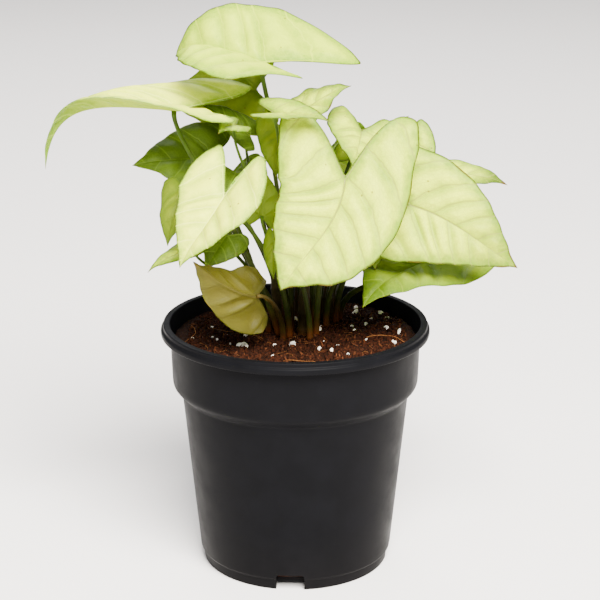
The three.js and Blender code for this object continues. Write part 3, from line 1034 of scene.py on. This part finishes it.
LEAVES = (
    LeafForm("crown", (3, 9), (-16, -4, 252), (-58, 20, 249), (0, -0.4, 0.92), 65, lobes=1.25, uneven=-0.6,
             closed=(0, 0.74), full=0.7, arch=7.8, fold=24, twist=-22, wave=0.6, brown_edge=0.5,
             tone=LeafTone.CREAM),
    LeafForm("arching", (-8, -4), (-57, -8, 230), (-117, -20, 202), (-0.3, -0.15, 0.95), 58, lobes=0.9,
             uneven=-0.35, arch=20, fold=20, twist=30, lean=(-14, -10), tip_shade=0.8, brown_tip=2.0,
             tone=LeafTone.IVORY),
    LeafForm("dark_left", (-17, 14), (-41, 12, 202), (-79, 4, 200), (0, -0.65, 0.75), 45, lobes=0.7,
             tone=LeafTone.GREEN),
    LeafForm("front_left", (-3, -8), (-33, -36, 195), (-53, -54, 165), (-0.55, -0.85, 0.45), 46, lobes=1.3,
             closed=(0.05, 0.45), sway=0.8, fold=18, wave=1.0, brown_edge=0.45, tone=LeafTone.IVORY),
    LeafForm("front", (10, -5), (23, -34, 202), (-7, -56, 155), (0, -0.9, 0.35), 63, lobes=1.1, flare=1.6,
             full=1.1, sway=4.2, wave=1.0, brown_edge=0.7),
    LeafForm("right", (20, 16), (55, -18, 186), (106, -26, 157), (0, -0.95, 0.3), 56, arch=4, sway=2.3,
             lean=(0, 8), wave=1.0, tip_shade=0.35, brown_tip=3.5, brown_edge=0.9),
    LeafForm("low_right", (22, 21), (62, 0, 153), (31, -34, 139), (-0.1, -0.4, 0.87), 56, lobes=1.8, arch=6,
             wave=0.9, tip_shade=0.9, brown_edge=0.4, tone=LeafTone.LIME),
    LeafForm("low_left", (-6, -11), (-18, -34, 146), (-47, -50, 168), (-0.3, 0.75, -0.6), 38, lobes=0.5,
             sway=-2.2, fold=35, reach=6, wave=1.3, brown_tip=5.0, brown_edge=0.9, tone=LeafTone.SPENT),
    LeafForm("folded", (-2, 2), (-10, -24, 232), (17, -33, 229), (0.1, -0.45, 0.8), 18, lobes=0.7, fold=25,
             wave=0.5, brown_edge=0.6),
    LeafForm("upper_right", (9, 7), (3, 2, 227), (27, 4, 239), (-0.35, -0.45, 0.8), 27, lobes=0.5, wave=1.4,
             brown_edge=0.8),
    LeafForm("behind_front", (11, 19), (32, 8, 216), (27, -13, 202), (0.25, -0.5, 0.8), 36, lobes=1.2),
    LeafForm("tucked_right", (20, 36), (30, 22, 199), (56, 23, 221), (0.1, -0.85, 0.5), 24, lobes=0.6),
    LeafForm("right_young", (15, 15), (55, -1, 212), (63, -9, 187), (0.05, -0.95, 0.3), 24, lobes=0.8,
             wave=0.4),
    LeafForm("right_thin", (20, 27), (75, 8, 196), (103, 4, 190), (0.1, -0.4, 0.9), 22, lobes=0.7, wave=0.4,
             tip_shade=0.8, brown_tip=4.0),
    LeafForm("outer_left", (-15, 7), (-53, -14, 193), (-60, -24, 167), (-0.55, -0.7, 0.4), 26, lobes=0.4,
             lean=(-2, 8), wave=0.6, tone=LeafTone.OLIVE),
    LeafForm("spear_left", (-13, 2), (-49, -20, 166), (-70, -26, 155), (-0.35, -0.4, 0.85), 16, lobes=0.5,
             lean=(-2, -12), wave=0.3),
    LeafForm("inner_left", (-9, 2), (-33, -14, 170), (-43, -24, 156), (0.2, -0.8, 0.5), 24, lobes=0.65,
             wave=0.4, tone=LeafTone.GREEN),
    LeafForm("upper_back", (-4, 27), (-20, 34, 231), (-67, 46, 222), (-0.3, -0.9, 0.35), 46, lobes=0.5,
             tone=LeafTone.OLIVE),
    LeafForm("inner_top", (5, 14), (-7, -6, 221), (-9, -8, 197), (-0.3, -0.95, 0.1), 25, lobes=0.6, wave=0.4,
             tone=LeafTone.OLIVE),
    LeafForm("inner_bud", (-3, 7), (-16, -8, 178), (-13, -17, 201), (0.1, 0.9, 0.45), 22, lobes=0.55,
             wave=0.3, tone=LeafTone.OLIVE),
    LeafForm("inner_right", (15, 10), (36, -10, 173), (38, -18, 154), (0.3, -0.85, 0.4), 25, lobes=0.6,
             wave=0.4, brown_edge=0.8, tone=LeafTone.OLIVE),
    LeafForm("under_arching", (-9, 16), (-22, 2, 216), (-46, 6, 230), (0.35, -0.55, 0.75), 20, lobes=0.5,
             wave=0.4, tone=LeafTone.GREEN),
    LeafForm("inner_pale", (-4, 18), (-28, -14, 224), (-36, -22, 221), (0.1, -0.45, 0.85), 14, lobes=1.2,
             lean=(0, -10), wave=0.2),
    LeafForm("inner_curled", (7, -10), (-9, -22, 170), (-10, -27, 152), (-0.5, -0.85, 0.2), 14, lobes=0.7,
             wave=0.3, tone=LeafTone.OLIVE),
    LeafForm("back", (8, 28), (17, 36, 200), (26, 76, 150), (0, 0.8, 0.6), 46, lobes=0.7, wave=0.9),
    LeafForm("back_left", (-8, 22), (-35, 42, 184), (-40, 74, 134), (-0.1, 0.8, 0.5), 42, lobes=0.7,
             tone=LeafTone.GREEN),
    LeafForm("back_right", (12, 31), (60, 36, 180), (86, 70, 148), (0.3, 0.6, 0.7), 40, lobes=0.7),
)


def arch_bow(v: Array) -> tuple[Array, Array]:
    """How far a midrib arches at lengths v along it, mostly near its tip, and its slope. Its peak is 1."""
    scale = 4 ** (4 / 3) / 3
    return scale * np.where(v < 0, v, v * (1 - v ** 3)), scale * np.where(v < 0, 1.0, 1 - 4 * v ** 3)


def sway_bow(v: Array) -> tuple[Array, Array]:
    """How far a midrib sways at lengths v along it, mostly by its junction, and its slope. Its peak is 1."""
    scale = 3 ** 3 / 2 ** 2
    return scale * np.where(v < 0, v, v * (1 - v) ** 2), scale * np.where(v < 0, 1.0, (1 - v) * (1 - 3 * v))


def unit(vectors: Array) -> Array:
    """Scale vectors to length 1, along the last axis."""
    return vectors / np.linalg.norm(vectors, axis=-1, keepdims=True)


@dataclass(frozen=True)
class FlatPoints:
    """Where a blade's points lie on the flat blade. Lengths are in millimetres."""

    x: Array  # out from the midrib
    y: Array  # along it
    out: Array  # share of the way from the junction to the margin
    turn: Array  # angle round the margin, in radians
    phase: Array  # whole on each side vein
    to_margin: Array
    to_rib: Array  # from the nearest rib's middle


class Blade:
    """The curved surface of one leaf, and the mesh on it.

    On the flat blade u counts half-widths out from the midrib, and v counts lengths along it, from 0 at the
    junction to 1 at the tip, negative in the lobes.
    """

    HALF_OUTLINE = (
        (0, 1), (0.07, 0.93), (0.24, 0.8), (0.5, 0.62), (0.76, 0.38), (0.96, 0.12), (1, -0.06), (0.96, -0.24),
        (0.84, -0.38), (0.7, -0.455), (0.53, -0.44), (0.35, -0.33), (0.19, -0.19), (0.06, -0.08), (0, -0.035),
    )
    THICKNESS = 0.45 * MM
    GROOVE = 0.3 * MM  # how deep the ribs lie in the upper side
    GROOVE_WIDTH = 0.9  # mm from a rib's middle over which its groove fades
    KEEL = 1.4  # grooves that the ribs stand out below
    QUILT, SWELL = 1.9, 0.45  # mm that the tissue rises between side veins, and in soft waves
    SWELL_SPANS = (6.5, 7.5)  # mm per radian of those waves, out from the midrib and along it
    QUILT_RIB, SWELL_RIB = 4, 5  # mm from a rib within which the quilting and the waves die out
    CALM_EDGE, CALM_TIP = 6, 9  # mm from the margin and from the tip within which the relief dies out
    DIMPLE, DIMPLE_WIDTH = 0.35, 2.2  # mm that the blade sinks where its stalk meets it, and how widely
    FULL_RIBS, FULL_RELIEF = 45, 50  # mm of length from which a blade's ribs and relief are full size
    VEIN_GAP = 11.5  # mm from one side vein to the next
    VEIN_RISE, VEIN_BEND = 0.28, 0.3  # how a side vein leaves the midrib and how it turns towards the tip
    MIDRIB, SIDE_RIB = 0.45, 0.32  # mm from the middle of the midrib and of a lobe's rib to its edge
    LOBE_RIB = 1.25  # half-widths that a lobe's own rib runs outwards for each length that it runs back
    LOBE_REACH = 0.4  # lengths that it runs back
    NIBBLE = 0.006  # how uneven the margin is, as a share of the blade
    SCORCH_DEPTH = 0.9  # mm in from the margin over which its brown edge fades
    GREEN_FROM, GREEN_OVER = 0.35, 0.4  # lengths along the midrib where the painted shade by the tip starts, and its ramp
    RINGS_PER_MM, RINGS = 0.8, (20, 44)  # how fine the mesh is outwards, and its least and most rings
    SPOKES_PER_MM, SPOKES = 1.7, (44, 96)  # the same round each half

    def __init__(self, form: LeafForm) -> None:
        """Work out the leaf's own directions.

        Args:
            form: The leaf.
        """
        self.form = form
        self.start = np.array(form.junction, dtype=float)
        self.chord = np.array(form.tip, dtype=float) - self.start
        self.length = float(np.linalg.norm(self.chord))
        ahead = self.chord / self.length
        faces = np.array(form.faces, dtype=float)
        self.above = unit(faces - ahead * faces.dot(ahead))
        self.right = np.cross(self.above, ahead)
        self.seed = sum(ord(letter) for letter in form.name)

    def sheet(self, u: Array, v: Array) -> Array:
        """Lay flat points on the curved blade.

        Args:
            u: Half-widths out from the midrib.
            v: Lengths along it.

        Returns:
            Places in metres, one row each.
        """
        form = self.form
        along = self.along(u, v)
        slope, places = self.chord, self.start + np.outer(along, self.chord)
        for bow, size, way in ((arch_bow, form.arch, self.above), (sway_bow, form.sway, self.right)):
            off_line, off_slope = bow(along)
            places = places + np.outer(off_line * size, way)
            slope = slope + np.outer(off_slope * size, way)
        slope = unit(slope)
        side = unit(np.cross(self.above, slope))
        turn = np.radians(form.twist) * along[:, None]
        side = side * np.cos(turn) + np.cross(slope, side) * np.sin(turn)
        lift = np.cross(slope, side)
        rise = np.radians(form.fold - form.curl * np.abs(u) / 2)
        reach = form.width / 2 * self.spread(v)
        return (places + side * (u * reach * np.cos(rise))[:, None]
                + lift * (np.abs(u) * reach * np.sin(rise))[:, None]) * MM

    def spread(self, v: Array) -> Array:
        """How much wider than its plain outline the blade is at a length along it."""
        return 1 + np.where(v < 0, self.form.flare, self.form.full) * v ** 2

    def along(self, u: Array, v: Array) -> Array:
        """Lengths along the midrib, with the lobes as long as this leaf's."""
        return np.where(v < 0, v * self.form.lobes * (1 + self.form.uneven * u), v)

    def leant_in(self, u: Array, v: Array) -> Array:
        """Half-widths out from the midrib, once the lobes lean in over the notch."""
        left, right = self.form.closed
        return u + np.sign(u) * np.where(u < 0, left, right) * np.minimum(v, 0)

    def upper_side(self, u: Array, v: Array, h: float = 0.02) -> Array:
        """The direction of the upper side at flat points, from places a step h away."""
        across = self.sheet(u + h, v) - self.sheet(u - h, v)
        along = self.sheet(u, v + h) - self.sheet(u, v - h)
        return unit(np.cross(along, across))

    def margin_points(self, count: int, fine: int = 12) -> Array:
        """Walk the smooth outline, from the tip down the right, through the notch and back.

        Args:
            count: Points on each half.
            fine: Places between two points of the outline that its length is measured by.

        Returns:
            u and v of each point.
        """
        pins = np.array(self.HALF_OUTLINE, dtype=float)
        padded = np.vstack([2 * pins[0] - pins[1], pins, 2 * pins[-1] - pins[-2]])
        t = np.linspace(0, 1, fine, endpoint=False)[:, None]
        spans = [0.5 * (2 * p1 + (p2 - p0) * t + (2 * p0 - 5 * p1 + 4 * p2 - p3) * t ** 2
                        + (3 * p1 - p0 - 3 * p2 + p3) * t ** 3)
                 for p0, p1, p2, p3 in zip(padded, padded[1:], padded[2:], padded[3:])]
        half = evenly(np.vstack([*spans, pins[-1:]]), count + 1)
        half[:, 0] = np.maximum(half[:, 0], 0)
        return np.vstack([half, half[-2:0:-1] * (-1, 1)])

    def vein_phase(self, u: Array, v: Array) -> Array:
        """A number that is whole on each side vein, and continuous over the ribs that the veins leave."""
        count = max(3, round(self.length / self.VEIN_GAP))
        out = np.abs(u)
        lean = self.VEIN_RISE + self.VEIN_BEND * out
        origin = v - lean * out
        stagger = np.where(u < 0, 0.4, 0.0) * np.clip(origin * 5, 0, 1)
        return count * np.where(origin >= 0, origin, origin / (1 + lean * self.LOBE_RIB)) + stagger

    def vein_spacing(self, u: Array, v: Array, h: float = 1e-3) -> Array:
        """The millimetres from one side vein to the next, from phases a step h away."""
        per_u = (self.vein_phase(u + h, v) - self.vein_phase(u - h, v)) / (h * self.form.width)
        along = self.length * np.where(v < 0, self.form.lobes, 1.0)
        per_v = (self.vein_phase(u, v + h) - self.vein_phase(u, v - h)) / (2 * h * along)
        return 1 / np.hypot(per_u, per_v)

    def rib_gap(self, x: Array, y: Array) -> tuple[Array, Array]:
        """How far flat points lie from the midrib and from the ribs of the two lobes.

        Args:
            x: Millimetres out from the midrib.
            y: Millimetres along it.

        Returns:
            The gap to the nearest rib's middle and to its edge, in millimetres.
        """
        scale = min(1.0, self.length / self.FULL_RIBS)
        mid_gap = np.where(y >= 0, np.abs(x), np.hypot(x, y))
        mid_half = scale * np.clip(self.MIDRIB * (1 - y / self.length), 0.1, self.MIDRIB)
        left, right = self.form.closed
        run_out = self.LOBE_REACH * (self.LOBE_RIB - np.where(x < 0, left, right)) * self.form.width / 2
        longer = 1 + 0.5 * self.form.uneven * np.sign(x)
        run_back = -self.LOBE_REACH * self.form.lobes * longer * self.length
        share = np.clip((np.abs(x) * run_out + y * run_back) / (run_out ** 2 + run_back ** 2), 0, 1)
        lobe_gap = np.hypot(np.abs(x) - share * run_out, y - share * run_back)
        lobe_half = scale * self.SIDE_RIB * (1 - 0.8 * share)
        return np.minimum(mid_gap, lobe_gap), np.minimum(mid_gap - mid_half, lobe_gap - lobe_half)

    def build(self, material: Material) -> None:
        """Build the blade in place of its CAD node.

        Args:
            material: The blade's material.
        """
        form, seed = self.form, self.seed
        rings = int(np.clip(self.length * self.RINGS_PER_MM, *self.RINGS))
        margin = self.margin_points(int(np.clip(self.length * self.SPOKES_PER_MM, *self.SPOKES)))
        spokes = len(margin)
        stretch = np.linspace(0, 1, rings + 1)[1:]
        out = np.append(0, np.repeat(stretch, spokes))
        turn = np.append(0, np.tile(np.linspace(0, math.tau, spokes, endpoint=False), rings))
        nibbled = 1 - self.NIBBLE * (2 + np.sin(9 * turn + seed) + np.sin(23 * turn + 2 * seed)) * out ** 3
        u, v = (np.append(0, np.outer(stretch, way).ravel()) * nibbled for way in margin.T)
        phase = self.vein_phase(u, v)
        spacing = self.vein_spacing(u, v)
        u = self.leant_in(u, v)
        x = u * form.width / 2 * self.spread(v)
        y = self.along(u, v) * self.length
        edge_x, edge_y = x[-spokes:], y[-spokes:]
        to_margin = np.sqrt((x[:, None] - edge_x) ** 2 + (y[:, None] - edge_y) ** 2).min(axis=1)
        to_rib, rib = self.rib_gap(x, y)

        relief = self.relief(FlatPoints(x, y, out, turn, phase, to_margin, to_rib)) * MM
        groove = self.GROOVE * np.exp(-(to_rib / self.GROOVE_WIDTH) ** 2)
        groove *= np.clip(1.5 - y / self.length, 0, 1) * (1 - out ** 6)
        middle = self.sheet(u, v)
        normal = self.upper_side(u, v)
        thick = 0.5 * self.THICKNESS * np.sqrt(np.clip(1 - out ** 10, 0, 1))
        upper = middle + normal * (relief + thick - groove)[:, None]
        lower = middle + normal * (relief - thick - self.KEEL * groove)[:, None]

        ragged = np.clip(0.7 * np.sin(5 * turn + seed) + 0.7 * np.sin(17 * turn + 3 * seed), 0, 1)
        scorch = np.maximum(np.exp(-(np.hypot(x, y - self.length) / form.brown_tip) ** 2),
                            form.brown_edge * ragged * np.exp(-to_margin / self.SCORCH_DEPTH))
        # Painted shade: the blade turns a deeper green towards its tip, as if the tip lay in shadow.
        plain = form.tip_shade * np.clip((v - self.GREEN_FROM) / self.GREEN_OVER, 0, 1)
        lists = {
            "flat_x": x, "flat_y": y, "vein": phase, "spacing": spacing, "margin": to_margin, "rib": rib,
            "plain": plain, "scorch": scorch,
        }
        attributes = {name: np.append(values, values[:-spokes]) for name, values in lists.items()}
        attributes["under"] = np.append(np.zeros(len(upper)), np.ones(len(upper) - spokes))
        points = np.vstack([upper, lower[:-spokes]])
        piece = new_piece(f"{form.name}_blade", points, self.faces(rings, spokes), material, attributes)
        install(piece, form.tone.value.slot, f"leaf_{form.name}")

    def relief(self, flat: FlatPoints) -> Array:
        """How far the blade stands off its smooth sheet: quilting between veins, ripples and a soft swell.

        Args:
            flat: Where the points lie on the flat blade.

        Returns:
            The height, in millimetres, on the upper side.
        """
        seed, size = self.seed, min(1.0, self.length / self.FULL_RELIEF)
        inner = np.clip(flat.to_margin / self.CALM_EDGE, 0, 1) * np.clip(flat.to_rib / self.QUILT_RIB, 0, 1)
        quilt = self.QUILT * size * inner * np.abs(np.sin(math.pi * flat.phase))
        at_tip = np.clip(np.hypot(flat.x, flat.y - self.length) / self.CALM_TIP, 0, 1)
        ripple = self.form.wave * flat.out ** 4 * at_tip * (
            0.5 * np.sin(7 * flat.turn + seed) + 0.35 * np.sin(13 * flat.turn + 2 * seed)
            + 0.3 * np.sin(3 * flat.turn + seed / 3))
        across, down = self.SWELL_SPANS
        swell = self.SWELL * size * at_tip * np.clip(flat.to_rib / self.SWELL_RIB, 0, 1) * (
            np.sin(flat.x / across + seed) * np.sin(flat.y / down + 2 * seed))
        dimple = self.DIMPLE * np.exp(-(flat.x ** 2 + flat.y ** 2) / (self.DIMPLE_WIDTH * size) ** 2)
        return quilt + ripple + swell - dimple

    @staticmethod
    def faces(rings: int, spokes: int) -> list:
        """Join the two sides' points: a fan at the junction, and bands out to the shared margin.

        Args:
            rings: Rings of points on the upper side; the lower side shares the last.
            spokes: Points round each ring.

        Returns:
            Vertex numbers of each face.
        """
        faces, upper_count = [], 1 + rings * spokes
        for middle in (0, upper_count):
            starts = [middle + 1 + ring * spokes for ring in range(rings - 1)]
            starts.append(upper_count - spokes)
            faces += fan(middle, middle + 1, spokes)
            for low, high in zip(starts, starts[1:]):
                faces += band(low, high, spokes)
        return faces


@dataclass(frozen=True)
class Petiole:
    """The stalk of one leaf, sheathed at its foot and grooved to its top. Millimetres."""

    form: LeafForm
    foot_radius: float = 1.9
    top_radius: float = 0.45
    top_growth: float = 0.011
    taper: float = 0.6
    rise: float = 0.45
    blade_gap: float = 0.7
    sunk: float = 0.1
    knee: float = 0.3
    knee_share: float = 0.03
    groove: float = 0.22
    steps: int = 56
    sides: int = 16

    def build(self, soil_top: float, blade: Blade, material: Material) -> None:
        """Build the stalk in place of its CAD node.

        Args:
            soil_top: Height of the soil, in millimetres.
            blade: The leaf that it carries.
            material: The stalk's material.
        """
        form = self.form
        origin = np.zeros(1)
        facing = blade.upper_side(origin, origin)[0]
        start = np.array([*form.foot, soil_top])
        end = blade.sheet(origin, origin)[0] / MM - facing * self.blade_gap
        handle = start + (*form.lean, self.rise * float(np.linalg.norm(end - start)))
        route = [start, handle, end - facing * form.reach, end + facing * self.sunk]
        path = bezier([point * MM for point in route], self.steps)
        along = np.linspace(0, 1, len(path))
        thinnest = self.top_radius + self.top_growth * form.width
        radii = self.foot_radius + (thinnest - self.foot_radius) * along ** self.taper
        radii = (radii + self.knee * np.exp(-((along - 1) / self.knee_share) ** 2)) * MM
        stalk = swept(f"{form.name}_petiole", path, radii, self.sides, material, self.groove)
        install(stalk, "stalk", f"petiole_{form.name}")


@dataclass
class Foliage:
    """The canes, the stalks and the blades."""

    soil_top: float

    def build(self) -> None:
        """Build every stem and leaf."""
        cane = FleshyStem("woody_cane_bark", "#4a2a10", "#352a10", "#3c4014", "#20180a").material()
        stalk = FleshyStem("petiole_skin", "#4a240a", "#2c340a", "#3c520e", "#1e1f08").material()
        withered = FleshyStem("withered_petiole_skin", "#3a1d08", "#35290c", "#463a14", "#1e150a").material()
        finishes = {tone: tone.value.material() for tone in LeafTone}
        for stem in CANES:
            stem.build(self.soil_top, cane)
        for form in LEAVES:
            blade = Blade(form)
            blade.build(finishes[form.tone])
            Petiole(form).build(self.soil_top, blade, withered if form.tone is LeafTone.SPENT else stalk)


# ------------------------------------------------------------------------------------------ studio
@dataclass
class Studio:
    """A pale floor, soft light and the camera. Metres and degrees."""

    camera_place: Point = (0.0023, -0.887, 0.412)
    camera_pitch: float = 17.42
    lens: float = 114.0
    sensor: float = 36.0
    nearest: float = 0.05
    air_strength: float = 0.64
    floor_size: float = 12.0
    plant: Point = (0.0, 0.0, 0.17)

    def area_light(self, name: str, place: Point, size: float, power: float, tint: str) -> None:
        """Hang one soft square light that points at the plant.

        Args:
            name: The light's name.
            place: Where it hangs.
            size: Its side.
            power: Its power, in watts.
            tint: Its colour.
        """
        lamp = bpy.data.lights.new(name, "AREA")
        lamp.size = size
        lamp.energy = power
        lamp.color = linear(tint)[:3]
        holder = placed(name, lamp)
        holder.location = place
        holder.rotation_euler = (Vector(self.plant) - Vector(place)).to_track_quat("-Z", "Y").to_euler()

    def build(self) -> None:
        """Build the floor, the lights and the camera."""
        half = self.floor_size / 2
        corners = [(-half, -half, 0), (half, -half, 0), (half, half, 0), (-half, half, 0)]
        floor = placed("studio_floor", plain_mesh("studio_floor", corners, [(0, 1, 2, 3)]))
        floor.data.materials.append(StudioPaper().material())

        self.area_light("key", (0.38, -1.2, 1.55), 1.1, 240, "#fffdf6")
        self.area_light("fill", (-1.4, -1.0, 0.9), 1.2, 8, "#f4f8ff")
        self.area_light("back", (-0.2, 1.3, 1.4), 1.0, 22, "#ffffff")
        world = bpy.data.worlds.new("studio_air")
        bpy.context.scene.world = world
        world.use_nodes = True
        world.node_tree.nodes.clear()
        node = partial(add_node, world.node_tree)
        air = node("ShaderNodeBackground", {"Color": linear("#f3f4f6"), "Strength": self.air_strength})
        node("ShaderNodeOutputWorld", {"Surface": air})

        camera = bpy.data.cameras.new("camera")
        camera.lens = self.lens
        camera.sensor_width = self.sensor
        camera.clip_start = self.nearest
        holder = placed("camera", camera)
        holder.location = self.camera_place
        holder.rotation_euler = (math.radians(90 - self.camera_pitch), 0, 0)
        bpy.context.scene.camera = holder


def main() -> None:
    """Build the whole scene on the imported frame."""
    logging.basicConfig(level=logging.INFO, format="%(name)s %(message)s")
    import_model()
    Studio().build()
    pot_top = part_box("pot")[1]
    soil_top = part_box("soil")[1].z / MM
    NurseryPot(height=pot_top.z / MM, lip_radius=pot_top.x / MM).build()
    PottingMix(top=soil_top, radius=59.3).build()
    Foliage(soil_top=soil_top).build()


if __name__ == "__main__":
    main()
